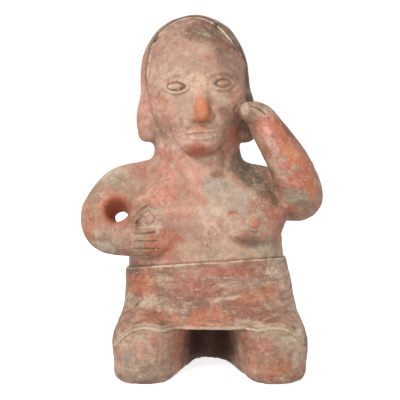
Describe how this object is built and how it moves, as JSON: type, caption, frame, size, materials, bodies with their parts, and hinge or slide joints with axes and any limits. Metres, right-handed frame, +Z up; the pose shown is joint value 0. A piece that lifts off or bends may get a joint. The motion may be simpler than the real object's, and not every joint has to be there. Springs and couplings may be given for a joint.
{
  "type": "terracotta kneeling figure",
  "caption": "Hand-built terracotta figure kneeling in a plain wrapped skirt, one hand laid on the breast and the other raised to the cheek, with hair falling straight beside a calm face.",
  "frame": {"origin": "middle of the outer box's footprint, on the ground that the figure stands on", "axes": "+Z up, -Y the way the face and knees look, +X towards the arm that is raised"},
  "size_m": [0.2219, 0.172, 0.3195],
  "materials": {
    "terracotta": "worn burnished slip, dusty red-brown mottled with grey-beige and orange"
  },
  "bodies": {
    "root": {"kneeling_figure": "terracotta"}
  },
  "joints": []
}
